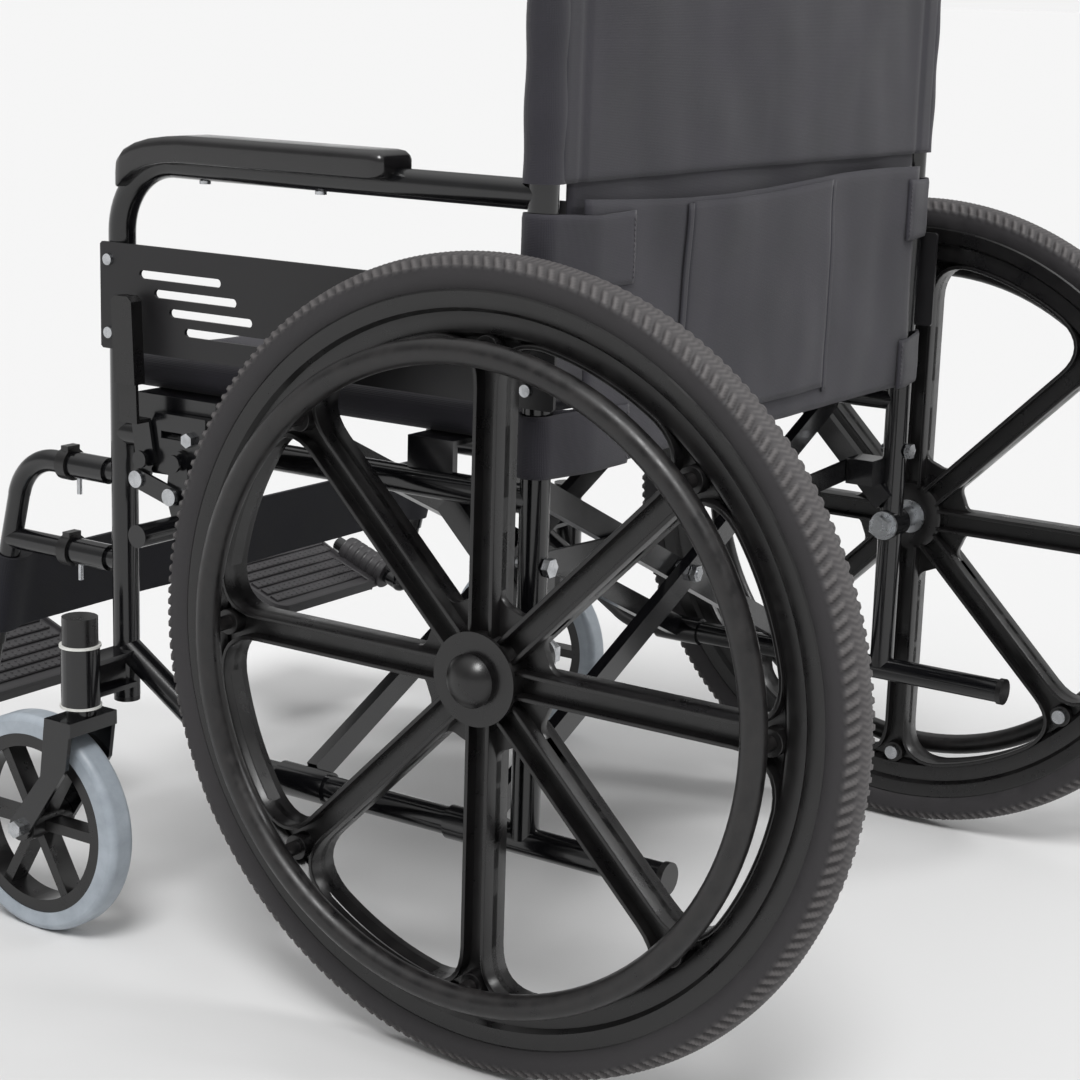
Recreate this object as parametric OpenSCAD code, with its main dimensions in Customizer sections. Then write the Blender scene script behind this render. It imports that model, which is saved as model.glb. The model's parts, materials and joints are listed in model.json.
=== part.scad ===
// Folding manual wheelchair with double cross brace. Millimetres, floor at z = 0,
// front of the chair towards -Y, rider's left towards +X, centred over the floor origin.

/* [Overall] */
// distance between the centres of the two side frames
frame_w = 606; // [420:1:640]
// front post to rear post, centre to centre
frame_l = 407; // [360:1:440]
// outer radius of the rear tyres
wheel_r = 305; // [280:1:330]
// height of the armrest tube
arm_z = 644.5; // [600:0.5:720]
// height of the push handles
handle_z = 912; // [860:1:980]

/* [Frame tubes] */
// outer diameter of the frame tubes
tube_d = 22.2; // [19:0.1:25.4]
// height of the lower side rail
low_z = 162.5; // [150:0.5:180]
// height of the middle side rail
mid_z = 424; // [400:1:440]
// height of the seat rails
rail_z = 471; // [455:1:490]
// how far the seat rails sit inboard of the side frame
rail_in = 33; // [30:0.5:40]
// bend radius at the front of the armrest
arm_bend = 58; // [40:1:80]
// bend radius of the push handles
handle_bend = 45; // [35:1:60]
// straight length of a push handle behind its bend
handle_l = 118; // [100:1:150]
// length of the tipping lever behind the rear post
tip_l = 122; // [90:1:150]

/* [Cross brace] */
// depth of a brace bar
bar_h = 20; // [16:1:25]
// thickness of a brace bar
bar_t = 10; // [8:1:14]
// rail centre above the bar centre line
rail_rise = 32; // [30:1:38]
// rear pair of bars, distance in front of the axle
pair_rear = 44; // [40:1:60]
// front pair of bars, distance in front of the axle
pair_front = 212; // [190:1:240]
// spacing between the two bars of a pair
bar_step = 12; // [12:0.5:16]

/* [Rear wheels] */
// middle plane of the rear wheel outside the side frame
wheel_out = 52; // [48:0.5:60]
// thickness of the tyre
tyre_d = 35; // [30:0.5:38]
// width of the moulded rim
rim_w = 30; // [26:0.5:34]
// depth of the moulded rim below the tyre centre
rim_deep = 44; // [38:0.5:50]
// number of spokes
spokes = 8; // [6:1:10]
// spoke thickness seen from the side
spoke_t = 21; // [16:0.5:26]
// radius of the hand rim
hand_r = 237; // [220:1:250]
// hand rim tube diameter
hand_d = 19; // [16:0.5:22]
// hand rim plane outside the wheel plane
hand_out = 36.5; // [34:0.5:44]
// axle diameter
axle_d = 12.7; // [10:0.1:16]

/* [Casters] */
// caster wheel radius
cast_r = 94; // [75:1:100]
// caster swivel axis outside the side frame
cast_out = 58; // [54:1:66]
// caster trail
trail = 47; // [35:1:55]
// caster tyre width
cast_w = 26; // [22:1:30]

/* [Legrests] */
// height of the upper legrest socket
sock_top = 388; // [375:1:400]
// height of the lower legrest socket
sock_low = 314; // [300:1:325]
// legrest tube diameter
leg_d = 19; // [16:0.5:20]
// forward lean of the legrest tube in degrees
lean = 14; // [8:1:25]
// upward pitch of the footplate in degrees
pitch = 20; // [10:1:28]
// width of a footplate
plate_w = 176; // [150:1:180]
// length of a footplate
plate_l = 150; // [130:1:170]

/* [Seat and back] */
// height of the calf strap
strap_h = 70; // [50:1:74]
// thickness of the calf strap
strap_t = 2.6; // [2:0.1:4]
// thickness of the seat upholstery
seat_t = 4.5; // [3:0.5:8]
// thickness of the back upholstery
back_t = 4; // [3:0.5:6]
// lower end of the upper back panel sleeves
sleeve_z = 658; // [656:1:680]
// length of the sleeves
sleeve_l = 204; // [180:1:206]

/* [Hidden] */
$fn = 48;
fx = frame_w / 2;                      // side frame plane
tr = tube_d / 2;                       // tube radius
post_r = tr + 0.15;                    // rear post and push handle
side_r = tr - 0.15;                    // side rails
front_y = -frame_l;                    // front post
wx = fx + wheel_out;                   // rear wheel plane
fit = 0.05;                            // running clearance on a radius
gap = 0.3;                             // air left between neighbours
lay_e = 0.02;                          // air under a part that rests on another
lap = 1;                               // a leaning tube starts this far inside its bend
step = 0.25;                           // which is this much thicker, so that the two fuse

// fold geometry: bar foot on the low rail, seat rail above the bar's upper end
rail_dx = frame_w - rail_in;
rail_dz = rail_z - low_z;
bar_p = sqrt(rail_dx * rail_dx + rail_dz * rail_dz - rail_rise * rail_rise);
fold_a = atan2(rail_dz, rail_dx) - atan2(rail_rise, bar_p);
bar_mid = fx / cos(fold_a);            // foot to centre pivot
sleeve_r = side_r + fit + 2.4;             // foot sleeve on the low rail

// legrest geometry
leg_r = leg_d / 2;
sock_y = front_y - 57;                 // open end of the sockets
bend_leg = 45;
bend_y = sock_y - 23;                  // start of the knee bend
knee_a = 90 - lean;
knee_y = bend_y - bend_leg * sin(knee_a);
knee_z = sock_top - bend_leg + bend_leg * cos(knee_a);
leg_len = (knee_z - 218) / cos(lean);  // straight part below the bend
strap_at = 57;                         // calf strap below the knee bend
foot_d = leg_d - 3.2;                  // inner foot tube
foot_len = (knee_z - 150) / cos(lean);
elbow_y = knee_y - foot_len * sin(lean);
elbow_z = knee_z - foot_len * cos(lean);
hinge_l = 92;                          // hinge rod ahead of the foot tube
hinge_r = 8;
hub_l = 60;                            // barrel of the footplate

// brake geometry on the left side, all from the tyre
brake_y = front_y + 40;                // lever pivot
brake_z = mid_z - 15;
arm_dy = 36;                           // arm pivot behind the lever pivot
crank = 18;
swing = 17.5;                          // half travel of the lever in degrees
arm_k = 28.6;
arm_swing = asin(crank * sin(swing) / arm_k);
shoe_r = 9.2;
shoe_dz = 51;

// the chair is centred over the origin between tyre back and plate front
plate_front = elbow_y - (20 + plate_l) * cos(pitch) - 16 * sin(pitch);
origin_y = -(wheel_r + plate_front) / 2;

module placed() { translate([0, origin_y, 0]) children(); }
module other_side() { mirror([1, 0, 0]) children(); }
// cylinder from a point along -Y, +Y or X
module rod_y(x, y0, y1, z, r) { translate([x, y0, z]) rotate([-90, 0, 0]) cylinder(r = r, h = y1 - y0); }
module rod_x(x0, x1, y, z, r) { translate([x0, y, z]) rotate([0, 90, 0]) cylinder(r = r, h = x1 - x0); }
module hex_x(x0, x1, y, z, r) { translate([x0, y, z]) rotate([0, 90, 0]) cylinder(r = r, h = x1 - x0, $fn = 6); }
module hex_y(x, y0, y1, z, r) { translate([x, y0, z]) rotate([-90, 0, 0]) cylinder(r = r, h = y1 - y0, $fn = 6); }
// quarter-style tube bend in the YZ plane, angles measured from +Y towards +Z
module bend(x, y, z, big, r, a0, a1) {
    translate([x, y, z]) rotate([90, 0, 90]) rotate([0, 0, a0])
        rotate_extrude(angle = a1 - a0) translate([big, 0]) circle(r = r);
}
// flat plate in a YZ plane
module plate_x(x0, t) { translate([x0, 0, 0]) rotate([90, 0, 90]) linear_extrude(t) children(); }

// ---------- side frame ----------
stub_z = low_z + 36.5;
front_drop = 32;                       // slope of the low rail's front end, degrees
low_join = low_z + 79;                 // height where the low rail meets the front post
drop_bend = 60;
drop_y = front_y + (low_join - low_z) / tan(front_drop);
barrel_z0 = 2 * cast_r + 17;
barrel_z1 = barrel_z0 + 49;
barrel_r = 16;
cx = fx + cast_out;
cy = front_y + 4;
stay_x = fx - 24;
stay_z = 357;
link_yr = -34;                         // middle of the right link
link_yl = -46;                         // middle of the left link
cradle_y = [front_y + 16, -114];
cradle_l = [86, 42];

module low_rail() {
    // straight part with the tipping lever, two bends, slope up to the front post
    rod_y(fx, drop_y + drop_bend * tan(front_drop / 2) - lap, tip_l, low_z, side_r);
    bend(fx, drop_y + drop_bend * tan(front_drop / 2), low_z + drop_bend, drop_bend, side_r + step,
        270 - front_drop, 270);
    start = drop_bend * tan(front_drop / 2) - lap;
    translate([fx, drop_y - start * cos(front_drop), low_z + start * sin(front_drop)])
        rotate([90 - front_drop, 0, 0])
            cylinder(r = side_r, h = (drop_y - front_y) / cos(front_drop) - start);
}
module caster_bracket() {
    for (z = [barrel_z0 + 5, barrel_z1 - 17])
        translate([fx + 4, cy - 12, z]) cube([cast_out - 12, 24, 4]);
    translate([fx + 4, cy - 3, barrel_z0 + 5]) cube([cast_out - 12, 6, barrel_z1 - barrel_z0 - 20]);
}
module cradles() {
    for (i = [0, 1]) {
        y = cradle_y[i];
        l = cradle_l[i];
        // arm from the middle rail up to a half-round cradle under the seat rail
        translate([fx - rail_in - 7, y, rail_z - tr - 5]) cube([14, l, 8]);
        translate([fx - rail_in + 5, y, rail_z - tr - 5]) cube([rail_in - 5, l, 4]);
        translate([fx - 3, y, mid_z + tr - 2]) cube([6, l, rail_z - mid_z - 2 * tr + 1]);
    }
}
module link_bracket(y_end) {
    translate([stay_x - 13, y_end + 2.5, stay_z - 12]) cube([30, -y_end - 7, 24]);
    rod_y(stay_x - 2, y_end - 3, y_end + 3, stay_z, 4);
}
module side_frame(y_end) {
    difference() {
        union() {
            low_rail();
            translate([fx, front_y, stub_z]) cylinder(r = tr, h = arm_z - arm_bend - stub_z);
            bend(fx, front_y + arm_bend, arm_z - arm_bend, arm_bend, tr, 90, 180);
            rod_y(fx, front_y + arm_bend, 0, arm_z, tr);
            translate([fx, 0, low_z + 3]) cylinder(r = post_r, h = handle_z - handle_bend - low_z - 3);
            bend(fx, handle_bend, handle_z - handle_bend, handle_bend, post_r, 90, 180);
            rod_y(fx, handle_bend, handle_bend + handle_l, handle_z, post_r);
            rod_y(fx, front_y, 0, mid_z, side_r);
            rod_x(fx - 13, fx + 14, 0, wheel_r, 14);
            // legrest sockets on necks
            for (z = [sock_top, sock_low]) {
                rod_y(fx, front_y - 20, front_y, z, 8.5);
                rod_y(fx, sock_y, front_y - 17, z, tr);
            }
            caster_bracket();
            translate([cx, cy, barrel_z0]) cylinder(r = barrel_r, h = barrel_z1 - barrel_z0);
            cradles();
            link_bracket(y_end);
            // diagonal gusset from the middle rail to the link bracket
            translate([stay_x + 8, -2, stay_z - 30])
                rotate([45, 0, 0]) translate([0, -bar_h / 2, 0]) cube([bar_t, bar_h, 118]);
        }
        for (z = [sock_top, sock_low]) {
            rod_y(fx, sock_y - 1, front_y - 22, z, leg_r + fit);
            translate([fx, sock_y + 5, z - tr - 2]) cylinder(r = 2.3, h = tr);
        }
        rod_x(fx - 30, fx + 30, 0, wheel_r, axle_d / 2 + fit);
        translate([cx, cy, barrel_z0 - 1]) cylinder(r = 6 + fit, h = 60);
        // screw and bolt holes
        for (y = [-318, -202])
            translate([fx, y, arm_z - tr - 1]) cylinder(r = 2.55, h = 2 * tr + 2);
        rod_y(fx, -tr - 10, tr + 1, 376, 4.05);
        for (p = panel_pts) rod_x(fx + 4, fx + tr + 1, p[0], p[1], 2.05);
        // the seat rail must sit in its cradle with air around it
        rod_y(fx - rail_in, front_y - 30, 0, rail_z, tr + gap);
        // clamp screw of the brake
        rod_x(fx - 20, fx + 20, brake_y + 45, mid_z + 5, 3.05);
    }
}
module left_side_frame() placed() color("black") side_frame(link_yl);
module right_side_frame() placed() other_side() color("black") side_frame(link_yr);

// ---------- caps, grips, pads ----------
module tube_caps() {
    rod_y(fx, tip_l + lay_e, tip_l + 5, low_z, side_r + 1.4);
    translate([fx, front_y, stub_z - 4]) cylinder(r = tr - 0.2, h = 4 - lay_e);
    translate([cx, cy, barrel_z1 + 2 + 2 * lay_e]) difference() {
        cylinder(r = barrel_r - 1.2, h = 23);
        translate([0, 0, -1]) cylinder(r = 11, h = 20);
    }
}
module left_tube_caps() placed() color("dimgray") tube_caps();
module right_tube_caps() placed() other_side() color("dimgray") tube_caps();

grip_y0 = handle_bend + 6;
module push_grip() {
    difference() {
        union() {
            rod_y(fx, grip_y0, handle_bend + handle_l + 6, handle_z, 16);
            rod_y(fx, grip_y0, grip_y0 + 5, handle_z, 19);
        }
        rod_y(fx, grip_y0 - 1, handle_bend + handle_l + fit, handle_z, post_r + fit);
    }
}
module left_push_grip() placed() color("dimgray") push_grip();
module right_push_grip() placed() other_side() color("dimgray") push_grip();

pad_w = 42;
pad_x = fx + 3;
module arm_pad() {
    ya = front_y + 12;
    yb = -127;
    difference() {
        translate([pad_x - pad_w / 2, 0, 0]) rotate([90, 0, 90]) linear_extrude(pad_w)
            polygon([[yb - 30, arm_z + 3], [yb, arm_z + 14.5], [yb, arm_z + 20], [yb - 3, arm_z + 23],
                [front_y + 80, arm_z + 23.5], [front_y + 50, arm_z + 21], [front_y + 22, arm_z + 12],
                [ya + 6, arm_z + 3], [ya, arm_z - 2], [ya, arm_z - 20], [ya + 7, arm_z - 20],
                [front_y + 24, arm_z - 6], [front_y + 58, arm_z + 3]]);
        rod_y(fx, front_y + arm_bend, 0, arm_z, tr + fit);
        bend(fx, front_y + arm_bend, arm_z - arm_bend, arm_bend, tr + 2 * fit, 90, 180);
        translate([fx, front_y, arm_z - arm_bend - 30]) cylinder(r = tr + fit, h = 31);
        for (y = [-318, -202]) translate([fx, y, arm_z]) cylinder(r = 2.55, h = tr + 8);
    }
}
module left_arm_pad() placed() color("dimgray") arm_pad();
module right_arm_pad() placed() other_side() color("dimgray") arm_pad();

// ---------- side panel ----------
panel_x = fx + post_r + 2 * lay_e;
panel_t = 3;
panel_z0 = rail_z + 22.5;
panel_h = 86;
panel_pts = [[front_y - 2, panel_z0 + 72], [front_y - 2, panel_z0 + 13],
    [-1, panel_z0 + 72], [-1, panel_z0 + 13]];
module side_panel() {
    plate_x(panel_x, panel_t) difference() {
        polygon([[front_y - 11, panel_z0 + 2], [front_y - 9, panel_z0], [21, panel_z0], [23, panel_z0 + 2],
            [23, panel_z0 + panel_h - 2], [21, panel_z0 + panel_h],
            [front_y - 9, panel_z0 + panel_h], [front_y - 11, panel_z0 + panel_h - 2]]);
        for (i = [0 : 3]) {
            y = front_y + 35 + 16 * i;
            z = panel_z0 + 63 - 14 * i;
            translate([y, z - 3.4]) square([79, 6.8]);
            translate([y, z]) circle(r = 3.4);
            translate([y + 79, z]) circle(r = 3.4);
        }
        for (p = panel_pts) translate([p[0], p[1]]) circle(r = 2.6);
    }
}
module left_side_panel() placed() color("dimgray") side_panel();
module right_side_panel() placed() other_side() color("dimgray") side_panel();

module frame_fasteners() {
    for (y = [-318, -202]) {
        translate([fx, y, arm_z - tr - 2.5]) cylinder(r = 4.5, h = 2.5 - lay_e);
        translate([fx, y, arm_z - tr - 1]) cylinder(r = 2.5, h = 2 * tr + 7);
    }
    for (p = panel_pts) {
        rod_x(panel_x + panel_t + lay_e, panel_x + panel_t + 2, p[0], p[1], 4.6);
        rod_x(fx + 6, panel_x + panel_t + 1, p[0], p[1], 2);
    }
    // hex bolt through the rear post
    hex_y(fx, tr + 1, tr + 6.5, 376, 7.5);
    rod_y(fx, -tr - 2, tr + 2, 376, 4);
    // lock pins of the legrest sockets
    for (z = [sock_top, sock_low])
        translate([fx, sock_y + 5, z - leg_r - 15]) cylinder(r = 2.2, h = 15 - 2 * fit);
    // brake clamp screw with its nut
    rod_x(fx - tr - 3, panel_x + 4, brake_y + 45, mid_z + 5, 3);
    hex_x(panel_x + 3.1, panel_x + 8, brake_y + 45, mid_z + 5, 6);
    hex_x(fx - tr - 4, fx - tr - 0.5, brake_y + 45, mid_z + 5, 6);
}
module left_frame_fasteners() placed() color("silver") frame_fasteners();
module right_frame_fasteners() placed() other_side() color("silver") frame_fasteners();

// ---------- rear axle ----------
hub_in = wx - 12;
hub_out = wx + 17;
module axle() {
    rod_x(fx - 27, hub_out + 6, 0, wheel_r, axle_d / 2);
    hex_x(fx - 26, fx - 15.6, 0, wheel_r, 11);
    difference() {
        rod_x(fx - 15.8, fx - 13 - lay_e, 0, wheel_r, 13.5);
        rod_x(fx - 17, fx - 12, 0, wheel_r, axle_d / 2 - 1);
    }
    rod_x(fx + 14 + lay_e, hub_in - lay_e, 0, wheel_r, 9.5);
    hex_x(hub_out + lay_e, hub_out + 6, 0, wheel_r, 10);
}
module left_axle() placed() color("silver") axle();
module right_axle() placed() other_side() color("silver") axle();

// ---------- brake ----------
bx = panel_x + panel_t + 1.2;          // layer of the lever and the arm
arm_py = brake_y + arm_dy;
arm_pz = brake_z + 1;
module brake_bracket() {
    difference() {
        union() {
            plate_x(panel_x, panel_t) polygon([[brake_y - 3, mid_z + 6], [brake_y + 8, mid_z + 23],
                [brake_y + 61, mid_z + 23], [brake_y + 61, mid_z - 8], [brake_y + 46, mid_z - 26],
                [brake_y - 9, mid_z - 27], [brake_y - 9, mid_z - 6]]);
            translate([fx + 5, brake_y + 8, mid_z + 20]) cube([panel_x - fx - 4, 53, 3]);
            for (p = [[brake_y, brake_z], [arm_py, arm_pz]]) {
                rod_x(panel_x + panel_t - 1, bx - lay_e, p[0], p[1], 10);
                rod_x(panel_x + 1, bx + 10, p[0], p[1], 3.5);
                rod_x(bx + 7.2, bx + 10, p[0], p[1], 7);
            }
        }
        rod_x(panel_x - 1, panel_x + panel_t + 1, brake_y + 45, mid_z + 5, 3.05);
        translate([panel_x - 1, brake_y + 14, mid_z + 3]) cube([panel_t + 2, 22, 6]);
    }
}
module left_brake_bracket() placed() color("black") brake_bracket();
module right_brake_bracket() placed() other_side() color("black") brake_bracket();

crank_y = brake_y - crank * sin(swing);
crank_z = brake_z - crank * cos(swing);
armpin_y = arm_py - arm_k * sin(arm_swing);
armpin_z = arm_pz - arm_k * cos(arm_swing);
lift_x = 16;                           // outboard step of the lever
module brake_lever() {
    difference() {
        union() {
            plate_x(bx, 3) union() {
                translate([brake_y, brake_z]) circle(r = 10);
                translate([crank_y, crank_z]) circle(r = 9);
                polygon([[brake_y - 10, brake_z], [crank_y - 9, crank_z], [crank_y + 9, crank_z],
                    [brake_y + 10, brake_z]]);
                polygon([[brake_y - 10, brake_z], [brake_y + 10, brake_z], [brake_y + 4, brake_z + 33],
                    [brake_y - 15, brake_z + 33]]);
            }
            // step outboard past the panel, then the handle bar with its plastic sleeve
            translate([bx, brake_y - 15, brake_z + 30]) cube([lift_x, 19, 3]);
            plate_x(bx + lift_x - 3, 3) polygon([[brake_y - 15, brake_z + 30], [brake_y + 4, brake_z + 30],
                [brake_y + 1, brake_z + 125], [brake_y - 18, brake_z + 125]]);
            plate_x(bx + lift_x - 7.5, 12) polygon([[brake_y - 16, brake_z + 62], [brake_y + 6, brake_z + 62],
                [brake_y + 3, brake_z + 128], [brake_y - 1, brake_z + 132], [brake_y - 15, brake_z + 132],
                [brake_y - 19, brake_z + 128]]);
            // rivet that carries the link
            rod_x(bx + 1, bx + 8, crank_y, crank_z, 3.5);
            rod_x(bx + 6.6, bx + 9, crank_y, crank_z, 7);
        }
        rod_x(bx - 1, bx + 4, brake_y, brake_z, 3.5 + fit);
    }
}
module left_brake_lever() placed() color("black") brake_lever();
module right_brake_lever() placed() other_side() color("black") brake_lever();

link_l = sqrt(pow(armpin_y - crank_y, 2) + pow(armpin_z - crank_z, 2));
module brake_link() {
    difference() {
        translate([0, crank_y, crank_z]) rotate([atan2(armpin_z - crank_z, armpin_y - crank_y), 0, 0])
            plate_x(bx + 3.3, 3) union() {
                circle(r = 8);
                translate([link_l, 0]) circle(r = 8);
                translate([0, -8]) square([link_l, 16]);
            }
        rod_x(bx + 2, bx + 8, crank_y, crank_z, 3.5 + fit);
        rod_x(bx + 2, bx + 8, armpin_y, armpin_z, 4.1);
    }
}
module left_brake_link() placed() color("black") brake_link();
module right_brake_link() placed() other_side() color("black") brake_link();

module brake_arm() {
    difference() {
        union() {
            plate_x(bx, 3) union() {
                translate([arm_py, arm_pz]) circle(r = 9);
                translate([arm_py + 3, arm_pz - shoe_dz]) circle(r = 9);
                polygon([[arm_py - 9, arm_pz], [armpin_y - 8, armpin_z], [arm_py - 6, arm_pz - shoe_dz],
                    [arm_py + 12, arm_pz - shoe_dz], [arm_py + 9, arm_pz]]);
            }
            rod_x(bx, wx + tyre_d / 2, arm_py + 3, arm_pz - shoe_dz, shoe_r);
            rod_x(bx + 1, bx + 8, armpin_y, armpin_z, 3.5);
            rod_x(bx + 6.6, bx + 9, armpin_y, armpin_z, 7);
        }
        rod_x(bx - 1, bx + 4, arm_py, arm_pz, 3.5 + fit);
    }
}
module left_brake_arm() placed() color("black") brake_arm();
module right_brake_arm() placed() other_side() color("black") brake_arm();

// ---------- upholstery of the back ----------
module post_sleeve(z, h, ro) {
    translate([fx, 0, z]) difference() {
        cylinder(r = ro, h = h);
        translate([0, 0, -1]) cylinder(r = post_r + gap, h = h + 2);
    }
}
module upper_back() placed() color("dimgray") {
    for (m = [0, 1]) mirror([m, 0, 0]) post_sleeve(sleeve_z, sleeve_l, tr + 4.4);
    translate([-fx + 9, tr - 2.2, sleeve_z]) cube([frame_w - 18, back_t, sleeve_l]);
    translate([-fx + 40, tr - 2.2, 600]) cube([frame_w - 80, back_t, sleeve_z - 599]);
}
flap_z = [mid_z + 20, panel_z0 + panel_h + 2];
flap_h = [44, 46];
module lower_back() placed() color("dimgray") {
    translate([-fx + 24, tr + 3, mid_z + 20]) cube([frame_w - 48, back_t, arm_z - mid_z - 23]);
    for (m = [0, 1]) mirror([m, 0, 0]) for (i = [0, 1]) {
        post_sleeve(flap_z[i], flap_h[i], tr + 3);
        translate([fx - 88, tr + 4.5, flap_z[i]]) cube([88, back_t, flap_h[i]]);
        difference() {
            translate([fx, 0, flap_z[i]]) cube([tr + 3, tr + 4.5 + back_t, flap_h[i]]);
            translate([fx, 0, flap_z[i] - 1]) cylinder(r = post_r + gap, h = flap_h[i] + 2);
        }
    }
}

// ---------- cross brace ----------
// side view of a bar: its upper end is mitred to pass inside the armrest, under the seat rail
module bar_outline() {
    h = bar_h / 2;
    weld = rail_rise - tr + 3;
    polygon([[tr + 1, -h], [bar_p - 37, -h], [bar_p - 9, h], [bar_p + 4, weld],
        [bar_p - 10, weld], [bar_p - 24, h], [tr + 1, h]]);
}
module brace_bars(yr, yf) {
    translate([-fx, 0, low_z]) rotate([0, -fold_a, 0]) {
        difference() {
            union() {
                for (y = [yr, yf]) {
                    translate([0, -y + bar_t / 2, 0]) rotate([90, 0, 0]) linear_extrude(bar_t) bar_outline();
                    rod_y(0, -y - 24, -y + 24, 0, sleeve_r);
                }
                rod_y(bar_p, front_y - 18, -20, rail_rise, tr);
            }
            for (y = [yr, yf]) {
                rod_y(0, -y - 25, -y + 25, 0, side_r + fit);
                rod_y(bar_mid, -y - bar_t, -y + bar_t, 0, 4 + fit);
            }
            for (y = [-60, -160, -260, -360]) translate([bar_p, y, rail_rise]) rotate([0, fold_a, 0])
                cylinder(r = 2.05, h = tr + 1);
        }
    }
}
module cross_brace_b() placed() color("black") brace_bars(pair_rear + bar_step, pair_front + bar_step);
module cross_brace_a() placed() other_side() color("black") brace_bars(pair_rear, pair_front);

pin_z = low_z + fx * tan(fold_a);
seat_z = rail_z + tr + lay_e;
module seat_screws() {
    for (y = [-60, -160, -260, -360]) {
        translate([fx - rail_in, y, seat_z + seat_t - 2.1]) cylinder(r = 4.5, h = 2);
        translate([fx - rail_in, y, rail_z + 2]) cylinder(r = 2, h = tr + seat_t);
    }
}
module brace_a_fasteners() placed() color("silver") {
    for (y = [pair_rear, pair_front]) {
        rod_y(0, -y - bar_step - bar_t / 2 - 8, -y + bar_t / 2 + 7, pin_z, 4);
        hex_y(0, -y - bar_step - bar_t / 2 - 7, -y - bar_step - bar_t / 2 - 0.6, pin_z, 7.5);
        hex_y(0, -y + bar_t / 2 + 0.6, -y + bar_t / 2 + 6, pin_z, 7.5);
        difference() {
            rod_y(0, -y - bar_t / 2 - 1.8, -y - bar_t / 2 - 0.2, pin_z, 9);
            rod_y(0, -y - bar_t / 2 - 3, -y - bar_t / 2 + 1, pin_z, 3);
        }
    }
    other_side() seat_screws();
}
module brace_b_fasteners() placed() color("silver") seat_screws();

// stay links between the rear posts and the rear bars
link_q = 429;                          // along the bar from its foot
stay_dx = (2 * bar_mid - link_q) * cos(fold_a) - (fx - stay_x) - 2;
stay_dz = low_z + link_q * sin(fold_a) - stay_z;
stay_l = sqrt(stay_dx * stay_dx + stay_dz * stay_dz);
module stay_link(y, y_bar) {
    difference() {
        translate([stay_x - 2, y + 2, stay_z]) rotate([0, 180 + atan2(stay_dz, stay_dx), 0])
            rotate([90, 0, 0]) {
                linear_extrude(4) union() {
                    circle(r = 9.5);
                    translate([stay_l, 0]) circle(r = 9.5);
                    translate([0, -9.5]) square([stay_l, 19]);
                }
                translate([stay_l, 0, -2]) cylinder(r = 6.5, h = y + 2 - y_bar + 2 - 2 * lay_e - gap);
            }
        rod_y(stay_x - 2, y - 4, y + 4, stay_z, 4 + fit);
    }
}
module left_stay_link() placed() color("black") stay_link(link_yl, -pair_rear - bar_step + bar_t / 2);
module right_stay_link() placed() other_side() color("black") stay_link(link_yr, -pair_rear + bar_t / 2);

module seat_sling() placed() color("dimgray") difference() {
    translate([-fx + rail_in - 10, front_y - 20, seat_z]) cube([frame_w - 2 * rail_in + 20, frame_l - 2, seat_t]);
    for (s = [-1, 1], y = [-60, -160, -260, -360])
        translate([s * (fx - rail_in), y, seat_z - 1]) cylinder(r = 4.7, h = seat_t + 2);
}

// ---------- rear wheel ----------
tyre_mid = wheel_r - tyre_d / 2;
module turn_x(x) { translate([x, 0, wheel_r]) rotate([0, 90, 0]) children(); }
module tyre() turn_x(wx) rotate_extrude($fn = 96) translate([tyre_mid, 0]) circle(r = tyre_d / 2);
module left_tyre() placed() color("gray") tyre();
module right_tyre() placed() other_side() color("gray") tyre();

rim_in = tyre_mid - rim_deep;
boss_r = hand_r;
module mag_wheel() turn_x(wx) {
    difference() {
        union() {
            rotate_extrude($fn = 96) difference() {
                translate([rim_in, -rim_w / 2]) square([tyre_mid - 8 - rim_in, rim_w]);
                translate([tyre_mid, 0]) circle(r = tyre_d / 2 + fit);
            }
            translate([0, 0, -12]) cylinder(r = 30, h = 29);
            translate([0, 0, -3]) cylinder(r = 52, h = 6);
            for (i = [0 : spokes - 1]) rotate([0, 0, 360 / spokes * i]) {
                translate([26, -spoke_t / 2, -rim_w / 2 + 2]) cube([rim_in - 22, spoke_t, rim_w - 3]);
                translate([boss_r, 0, -rim_w / 2 + 2]) cylinder(r = 12, h = rim_w - 3);
            }
        }
        translate([0, 0, -13]) cylinder(r = 8, h = 31);
        for (z = [-12.5, 8]) translate([0, 0, z]) cylinder(r = 16 + fit, h = 9.5);
        for (i = [0 : spokes - 1]) rotate([0, 0, 360 / spokes * i])
            translate([boss_r, 0, -rim_w]) cylinder(r = 3.1, h = 2 * rim_w);
    }
}
module left_mag_wheel() placed() color("dimgray") mag_wheel();
module right_mag_wheel() placed() other_side() color("dimgray") mag_wheel();

module hand_rim() turn_x(wx) difference() {
    union() {
        translate([0, 0, hand_out]) rotate_extrude($fn = 96) translate([hand_r, 0]) circle(r = hand_d / 2);
        for (i = [0 : spokes - 1]) rotate([0, 0, 360 / spokes * i])
            translate([hand_r, 0, rim_w / 2 - 1 + lay_e]) cylinder(r = 5.5, h = hand_out - rim_w / 2);
    }
    for (i = [0 : spokes - 1]) rotate([0, 0, 360 / spokes * i])
        translate([hand_r, 0, 0]) cylinder(r = 3.1, h = hand_out);
}
module left_hand_rim() placed() color("black") hand_rim();
module right_hand_rim() placed() other_side() color("black") hand_rim();

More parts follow.
